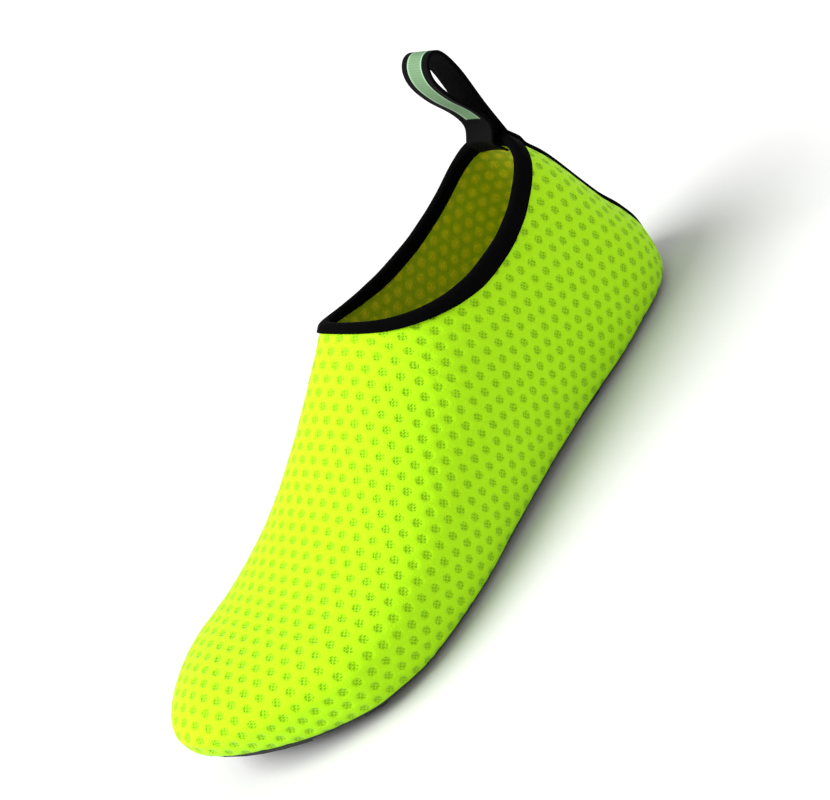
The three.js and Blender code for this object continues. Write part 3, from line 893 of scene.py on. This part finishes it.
def binding_section():
    """The U as rows of drop and offset: up the outer leg, over the fold, down the inner leg,
    and back up inside the fold."""
    away = FIT_GAP + BINDING_THICKNESS
    inner = -CLOTH_THICKNESS - away
    middle = (away + inner) / 2
    radius = (away - inner) / 2
    turn = np.linspace(0, math.pi, 11)[1:-1]
    leg = np.linspace(BINDING_WIDTH - 0.0004, 0, 6)
    outer_leg = [(BINDING_WIDTH, FIT_GAP), (BINDING_WIDTH, away - 0.0004)]
    outer_leg += [(drop, away) for drop in leg]
    fold = [(-radius * 0.75 * math.sin(t), middle + radius * math.cos(t)) for t in turn]
    inner_leg = [(drop, inner) for drop in leg[::-1]]
    inner_leg += [(BINDING_WIDTH, inner + 0.0004), (BINDING_WIDTH, -CLOTH_THICKNESS - FIT_GAP)]
    slot = [(-FIT_GAP, -CLOTH_THICKNESS - FIT_GAP), (-FIT_GAP, FIT_GAP)]
    return np.array(outer_leg + fold + inner_leg + slot)


def throat_share(offset, drop):
    """Where the moved collar line meets the ridge, found by halving."""
    def before_ridge(share):
        return collar_level(np.array([share]), 1.0, offset, drop)[0] != 1.0

    _, high = halved(THROAT_FROM, THROAT_TO, before_ridge, THROAT_ROUNDS)
    return float(high)


def binding_shares(throat):
    """Shares from the heel's back to the throat, closer together towards the throat, where the
    collar's edge swings across the ridge."""
    fine, arc = outline_length()
    way = 1 - (1 - np.linspace(0, 1, BINDING_COLUMNS + 1)) ** 2
    shares = np.interp(np.interp(throat, fine, arc) * way, arc, fine)
    shares[-1] = throat
    return shares


def make_binding():
    """The section carried round the collar, with its drop measured square to the edge."""
    section = binding_section()
    rows = []
    for drop, offset in section:
        half = binding_shares(throat_share(offset, drop))
        around = np.concatenate([half, half[::-1][1:]])
        which = np.where(np.arange(len(around)) > BINDING_COLUMNS, -1.0, 1.0)
        level = collar_level(around, which, offset, drop)
        level[BINDING_COLUMNS] = 1.0
        row = last_point(around, which, level, offset)
        row[-1] = row[0]
        rows.append(row)
    points = np.array(rows)
    across = running(np.linalg.norm(np.diff(section, axis=0), axis=1))
    edge = points[len(section) // 3]
    length = running(np.linalg.norm(np.diff(edge, axis=0), axis=1))
    uv = np.stack(np.broadcast_arrays(length, across[:, None]), -1)
    return points, grid_faces(*points.shape[:2], close_rows=True), uv


def tape_material(name, dark, light, rib, gloss):
    """Ribbed woven tape: fine ribs along its length crossed by the threads of the weave."""
    made, tree, shader, where = start_material(name)
    along_it, across_it, _ = axes(tree, where.outputs["UV"])
    ribs = wave(tree, across_it, rib)
    threads = wave(tree, along_it, 0.7 * rib)
    weave = maths(tree, "MULTIPLY", ribs, threads)
    fibre = noise(tree, where.outputs["Object"], 3000.0)
    shade = maths(tree, "MULTIPLY_ADD", weave, 0.3, fibre)
    color = mixed(tree, shade, dark, light)
    height = maths(tree, "MULTIPLY_ADD", weave, 0.35, fibre)
    finish_material(tree, shader, color, height, 0.00022, Roughness=gloss, Specular_IOR_Level=0.02)
    return made


binding_tape = tape_material("binding_tape", TAPE_BLACK, BINDING_THREAD, BINDING_RIB, 0.8)
binding_points, binding_faces, binding_uv = make_binding()
binding = add_piece("binding_tape", binding_points, binding_faces, [binding_tape],
                    uv=binding_uv, crease=60)
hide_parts("collar_binding")
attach(binding, "root")

# %% [markdown]
# ## Heel webbing and pull loop
# One woven tape runs up the heel, over the binding, on into a tall loop and down inside the
# collar. It is drawn as a section, a flat strip with rounded selvedges, carried along a path
# that first follows the last, then bows free, then follows the last again on the inside.

# %% Webbing
HEEL_STEPS = 60
LOOP_STEPS = 120
INSIDE_STEPS = 16
BOW_REACH = 0.12
BOW_ROUNDS = 30
RIM_HEIGHT = float(HEEL_HEIGHT * along(COLLAR, "share", "height", 0.08))


def heel_level(offset, height):
    """Level on the heel's centre line that lies at a height, found by halving."""
    def under(level):
        return last_point(0.0, 1.0, level, offset)[..., 2] < height

    ends = np.ones(np.shape(height))
    low, _ = halved(-ends, ends, under, LEVEL_ROUNDS)
    return low


def heel_x(offset, height):
    """How far forward the heel's centre line is at a height."""
    return last_point(0.0, 1.0, heel_level(offset, height), offset)[..., 0]


def heel_bow(y, level, offset):
    """How far forward the last lies at a distance from the heel's centre line."""
    def inside(share):
        return last_point(share, 1.0, level, offset)[..., 1] < np.abs(y)

    start = np.zeros(np.broadcast_shapes(np.shape(y), np.shape(level), np.shape(offset)))
    low, _ = halved(start, start + BOW_REACH, inside, BOW_ROUNDS)
    return last_point(low, 1.0, level, offset)[..., 0] - last_point(0.0, 1.0, level, offset)[..., 0]


def smooth_path(points, count):
    """A Catmull-Rom curve through points, at even steps of its own length."""
    points = np.array(points, float)
    padded = np.vstack([2 * points[0] - points[1], points, 2 * points[-1] - points[-2]])
    t = np.linspace(0, len(points) - 1, 60 * len(points))
    i = np.minimum(t.astype(int), len(points) - 2)
    f = (t - i)[:, None]
    p0, p1, p2, p3 = (padded[i + k] for k in range(4))
    curve = 0.5 * (2 * p1 + (p2 - p0) * f + (2 * p0 - 5 * p1 + 4 * p2 - p3) * f**2
                   + (3 * p1 - p0 - 3 * p2 + p3) * f**3)
    arc = running(np.linalg.norm(np.diff(curve, axis=0), axis=1))
    at = np.linspace(0, arc[-1], count)
    return np.stack([np.interp(at, arc, curve[:, k]) for k in range(2)], -1)


def webbing_section():
    """Across the tape: distance from its middle and height over its middle plane."""
    half = WEBBING_WIDTH / 2
    thick = WEBBING_THICKNESS / 2 - 0.00015
    face = np.linspace(-1, 1, 13) * (half - 0.0005)
    front = [(y, thick) for y in face]
    edge = [(half - 0.0001, thick * 0.6), (half, 0.0), (half - 0.0001, -thick * 0.6)]
    return np.array(front + edge + [(-y, -h) for y, h in front + edge])


def make_webbing():
    """Path rows in the side view: height and offset on the heel, then the free loop, then
    height and offset inside. The strip bows round the heel and straightens in the loop."""
    half = WEBBING_THICKNESS / 2
    over_cloth = FIT_GAP + half
    over_binding = 2 * FIT_GAP + BINDING_THICKNESS + half
    within = -CLOTH_THICKNESS - over_binding - FIT_GAP
    section = webbing_section()
    y, layer = section[:, 0], section[:, 1]
    rim = RIM_HEIGHT
    edge = rim - BINDING_WIDTH - 0.0013
    low = float(last_point(0.0, 1.0, -0.96, over_cloth)[0, 2])
    climb = np.linspace(low, rim - 0.0005, HEEL_STEPS)
    outside = over_cloth + (over_binding - over_cloth) * smooth_step(climb, edge - 0.004, edge + 0.0003)
    rows = [strip_on_last(climb, outside, y, layer)]
    rear = float(heel_x(over_binding, rim)[0])
    front = float(heel_x(within, rim)[0])
    free = np.stack([rear + LOOP_DEPTH * LOOP["forward"], rim + LOOP_RISE * LOOP["up"]], -1)
    path = smooth_path(np.vstack([free, [front, rim + 0.001]]), LOOP_STEPS)
    rows.append(strip_in_air(path, over_binding, within, y, layer))
    fall = np.linspace(rim - 0.0006, rim - WEBBING_INSIDE, INSIDE_STEPS)
    rows.append(strip_on_last(fall, np.full(INSIDE_STEPS, within), y, -layer))
    return np.vstack(rows), section


def strip_on_last(height, offset, y, layer):
    """Rows of the strip where it lies on the grown last."""
    grown = offset[:, None] + layer
    level = heel_level(offset, height)[:, None]
    bow = heel_bow(y, level, grown)
    centre = last_point(0.0, 1.0, level, grown)
    x = centre[..., 0] + bow
    z = np.broadcast_to(height[:, None], x.shape)
    return np.stack([x, np.broadcast_to(y, x.shape), z], -1)


def strip_in_air(path, start_offset, end_offset, y, layer):
    """Rows of the strip along a free path; the bow of the heel fades as the loop rises."""
    way = np.gradient(path, axis=0)
    way /= np.linalg.norm(way, axis=1)[:, None]
    fade = np.clip(1 - (path[:, 1] - RIM_HEIGHT) / LOOP_RISE, 0, 1) ** 1.5
    part = np.linspace(0, 1, len(path))[:, None]
    offset = start_offset + (end_offset - start_offset) * part
    bow = heel_bow(y, heel_level(offset, RIM_HEIGHT), offset) * fade[:, None]
    x = path[:, :1] - way[:, 1:] * layer + bow
    z = path[:, 1:] + way[:, :1] * layer
    return np.stack([x, np.broadcast_to(y, x.shape), z], -1)


def webbing_mesh():
    """The rows as one closed strip, with flat caps, and which faces are its outer face."""
    points, section = make_webbing()
    rows, size = points.shape[:2]
    length = running(np.linalg.norm(np.diff(points[:, size // 4], axis=0), axis=1))
    uv = np.stack(np.broadcast_arrays(length[:, None], section[:, 0]), -1)
    faces = grid_faces(rows, size, close_columns=True)
    outer = np.arange(len(faces)) % size < 12
    half = size // 2
    k = np.arange(half - 1)
    cap = np.stack([k, k + 1, size - 2 - k, size - 1 - k], -1)
    shifted = (cap + 13) % size
    first = shifted[:, ::-1]
    last = shifted + (rows - 1) * size
    faces = np.vstack([faces, first, last])
    outer = np.concatenate([outer, np.zeros(2 * (half - 1), bool)])
    return points, faces, uv, outer.astype(np.int32), length


webbing_points, webbing_faces, webbing_uv, webbing_outer, webbing_length = webbing_mesh()
print("webbing", round(float(webbing_length[-1]) * 1000), "mm long")

# %% [markdown]
# ## Reflective stripe
# The outer face of the webbing carries a woven reflective stripe, pale grey green, with a fine
# lighter line on each edge. It is a band across the tape's own width, so the UV map draws it, and
# it stops at the dark tack where the loop enters the collar.

# %% Webbing finish
STRIPE_WIDTH = 0.008
STRIPE_LINE = 0.0007
STRIPE_BLUR = 0.0001
STRIPE_RIB = 0.0009
STRIPE_CORD = 0.0008
TACK_RISE = 0.011
WEBBING_RIB = 0.0011
WEBBING_THREAD = (0.0030, 0.0030, 0.0034, 1)
STRIPE_DARK = (0.13, 0.24, 0.12, 1)
STRIPE_PALE = (0.21, 0.35, 0.20, 1)
STRIPE_EDGE = (0.34, 0.50, 0.33, 1)
tack_start = float(webbing_length[-1]) - WEBBING_INSIDE - TACK_RISE


def stripe_material():
    """Black webbing with the pale stripe in the middle of its face."""
    made, tree, shader, where = start_material("webbing_stripe")
    along_it, across_it, _ = axes(tree, where.outputs["UV"])
    away = maths(tree, "ABSOLUTE", across_it)
    before_tack = ramp(tree, along_it, tack_start + 0.0004, tack_start - 0.0002)
    half = STRIPE_WIDTH / 2
    stripe = ramp(tree, away, half + STRIPE_BLUR, half - STRIPE_BLUR)
    stripe = maths(tree, "MULTIPLY", stripe, before_tack)
    line = ramp(tree, away, half - STRIPE_LINE - STRIPE_BLUR, half - STRIPE_LINE + STRIPE_BLUR)
    ribs = wave(tree, along_it, STRIPE_RIB)
    cords = wave(tree, across_it, STRIPE_CORD)
    weave = maths(tree, "MULTIPLY", ribs, cords)
    fibre = noise(tree, where.outputs["Object"], 2500.0)
    black = mixed(tree, fibre, TAPE_BLACK, WEBBING_THREAD)
    grey = mixed(tree, maths(tree, "MULTIPLY_ADD", ribs, 0.25, fibre), STRIPE_DARK, STRIPE_PALE)
    pale = mixed(tree, line, grey, STRIPE_EDGE)
    color = mixed(tree, stripe, black, pale)
    height = maths(tree, "MULTIPLY_ADD", weave, 0.4, maths(tree, "MULTIPLY", stripe, 0.4))
    finish_material(tree, shader, color, height, 0.0002, Roughness=0.7, Specular_IOR_Level=0.05)
    return made


webbing_plain = tape_material("webbing_plain", TAPE_BLACK, WEBBING_THREAD, WEBBING_RIB, 0.7)
webbing = add_piece("webbing_tape", webbing_points, webbing_faces, [webbing_plain, stripe_material()],
                    uv=webbing_uv, face_material=webbing_outer, crease=50)
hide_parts("heel_webbing")
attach(webbing, "root")

# %% [markdown]
# ## Insole
# A board of foam with a cloth face fills the opening under the cloth. It is drawn as rings that
# run from the middle of its underside, round its edge, to the middle of its top. It is soft, so
# its upper edge is rounded.

# %% Insole
INSOLE_COLUMNS = 160
INSOLE_EDGE = 0.0008
INSOLE_WEAVE = 0.0012


def make_insole():
    """Rings of a share of the way to the middle line, an inset from the edge and a height."""
    share, side = round_trip(INSOLE_COLUMNS)
    inset = TURN_UNDER + CLOTH_THICKNESS + FIT_GAP
    turn = np.linspace(0, math.pi / 2, 5)
    rings = [(part, 0.0, 0.0) for part in np.linspace(1, 0, 9)]
    rings += [(0.0, INSOLE_EDGE * (1 - math.cos(t)), INSOLE_THICKNESS - INSOLE_EDGE * (1 - math.sin(t)))
              for t in turn]
    rings += [(part, INSOLE_EDGE, INSOLE_THICKNESS) for part in np.linspace(0, 1, 9)[1:]]
    rows = []
    for part, extra, height in rings:
        x, y = outline_point(share, side, -inset - extra)
        x = x + (0.5 * (x + x[::-1]) - x) * part
        y = y + (0.5 * (y + y[::-1]) - y) * part
        rows.append(np.stack([x, y, cloth_height(x / SHOE_LENGTH) + height], -1))
    points = np.array(rows)
    points[:, -1] = points[:, 0]
    return points, grid_faces(*points.shape[:2])


def insole_material():
    """Grey-green cloth over foam, with a small diagonal weave."""
    made, tree, shader, where = start_material("insole_cloth")
    x, y, _ = axes(tree, where.outputs["Object"])
    first = wave(tree, maths(tree, "ADD", x, y), INSOLE_WEAVE)
    second = wave(tree, maths(tree, "SUBTRACT", x, y), INSOLE_WEAVE)
    weave = maths(tree, "MULTIPLY", first, second)
    fibre = noise(tree, where.outputs["Object"], 2000.0)
    color = mixed(tree, maths(tree, "MULTIPLY_ADD", weave, 0.3, fibre), (0.035, 0.038, 0.028, 1),
                  (0.085, 0.09, 0.06, 1))
    finish_material(tree, shader, color, maths(tree, "ADD", weave, fibre), 0.00015, Roughness=0.9,
                    Sheen_Weight=0.1)
    return made


insole_points, insole_faces = make_insole()
insole = add_piece("insole_foam", insole_points, insole_faces, [insole_material()], crease=60)
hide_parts("insole")
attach(insole, "root")

# %% [markdown]
# ## Sole
# The sole's solid already has its outline, arch, round lugs, blocks and side step, so it stays
# and gets the look of moulded rubber. On the real tread the ground between the lugs is filled
# with far smaller studs. They are too many to model, so they are a bump of irregular cells on
# the faces that look down.

# %% Rubber
def rubber_material():
    """Matt dark rubber with a faint grain, and small low studs on what faces down."""
    made, tree, shader, where = start_material("sole_rubber")
    grain = noise(tree, where.outputs["Object"], 1800.0, 4.0)
    patch = noise(tree, where.outputs["Object"], 40.0)
    cells = add(tree, "ShaderNodeTexVoronoi", {"Vector": where.outputs["Object"], "Scale": 230.0},
                feature="DISTANCE_TO_EDGE", voronoi_dimensions="2D")
    studs = ramp(tree, cells.outputs["Distance"], 0.10, 0.20)
    down = axes(tree, where.outputs["Normal"])["Z"]
    studs = maths(tree, "MULTIPLY", studs, ramp(tree, down, -0.80, -0.95))
    color = mixed(tree, patch, (0.006, 0.008, 0.0065, 1), (0.014, 0.018, 0.015, 1))
    height = maths(tree, "MULTIPLY_ADD", grain, 0.15, studs)
    finish_material(tree, shader, color, height, 0.0005, Roughness=0.5, Specular_IOR_Level=0.45)
    return made


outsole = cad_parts["outsole"]
outsole.data.materials.clear()
outsole.data.materials.append(rubber_material())
print("outsole keeps its solid, in", outsole.data.materials[0].name)
